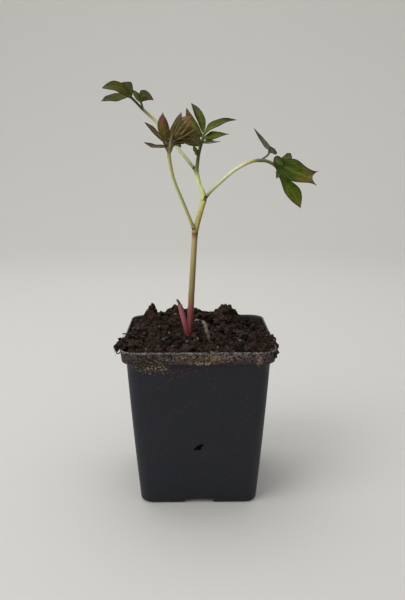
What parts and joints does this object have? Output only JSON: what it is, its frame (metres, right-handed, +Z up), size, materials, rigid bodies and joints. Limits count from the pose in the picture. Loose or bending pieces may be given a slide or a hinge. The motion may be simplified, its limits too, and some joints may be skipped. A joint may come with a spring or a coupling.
{
  "type": "potted duchesse de nemours peony",
  "caption": "Young peony plant with one upright stem and divided leaves, growing in a square tapered nursery pot filled with peat.",
  "frame": {"origin": "centre of the pot's flat underside", "axes": "+Z up along the pot and the plant, -Y towards the side that the picture shows, +X to the right of that side"},
  "size_m": [0.1518, 0.11, 0.3063],
  "materials": {
    "pot_plastic": "thin thermoformed black polypropylene, satin, dusted with dried peat at the collar",
    "peat": "rough, damp, fibrous peat",
    "dry_stalk": "dry, split, matt",
    "root_skin": "rough, corky skin",
    "stem_skin": "smooth, slightly waxy, red at the foot and yellow-green above",
    "leaf_skin": "smooth, slightly glossy, dark green flushed with bronze"
  },
  "bodies": {
    "root": {"pot": "pot_plastic", "soil": "peat", "old_stub": "dry_stalk", "root_crown": "root_skin", "stem": "stem_skin", "leaf_left": "leaf_skin", "leaf_right": "leaf_skin", "leaf_back": "leaf_skin", "leaf_centre": "leaf_skin"}
  },
  "joints": []
}
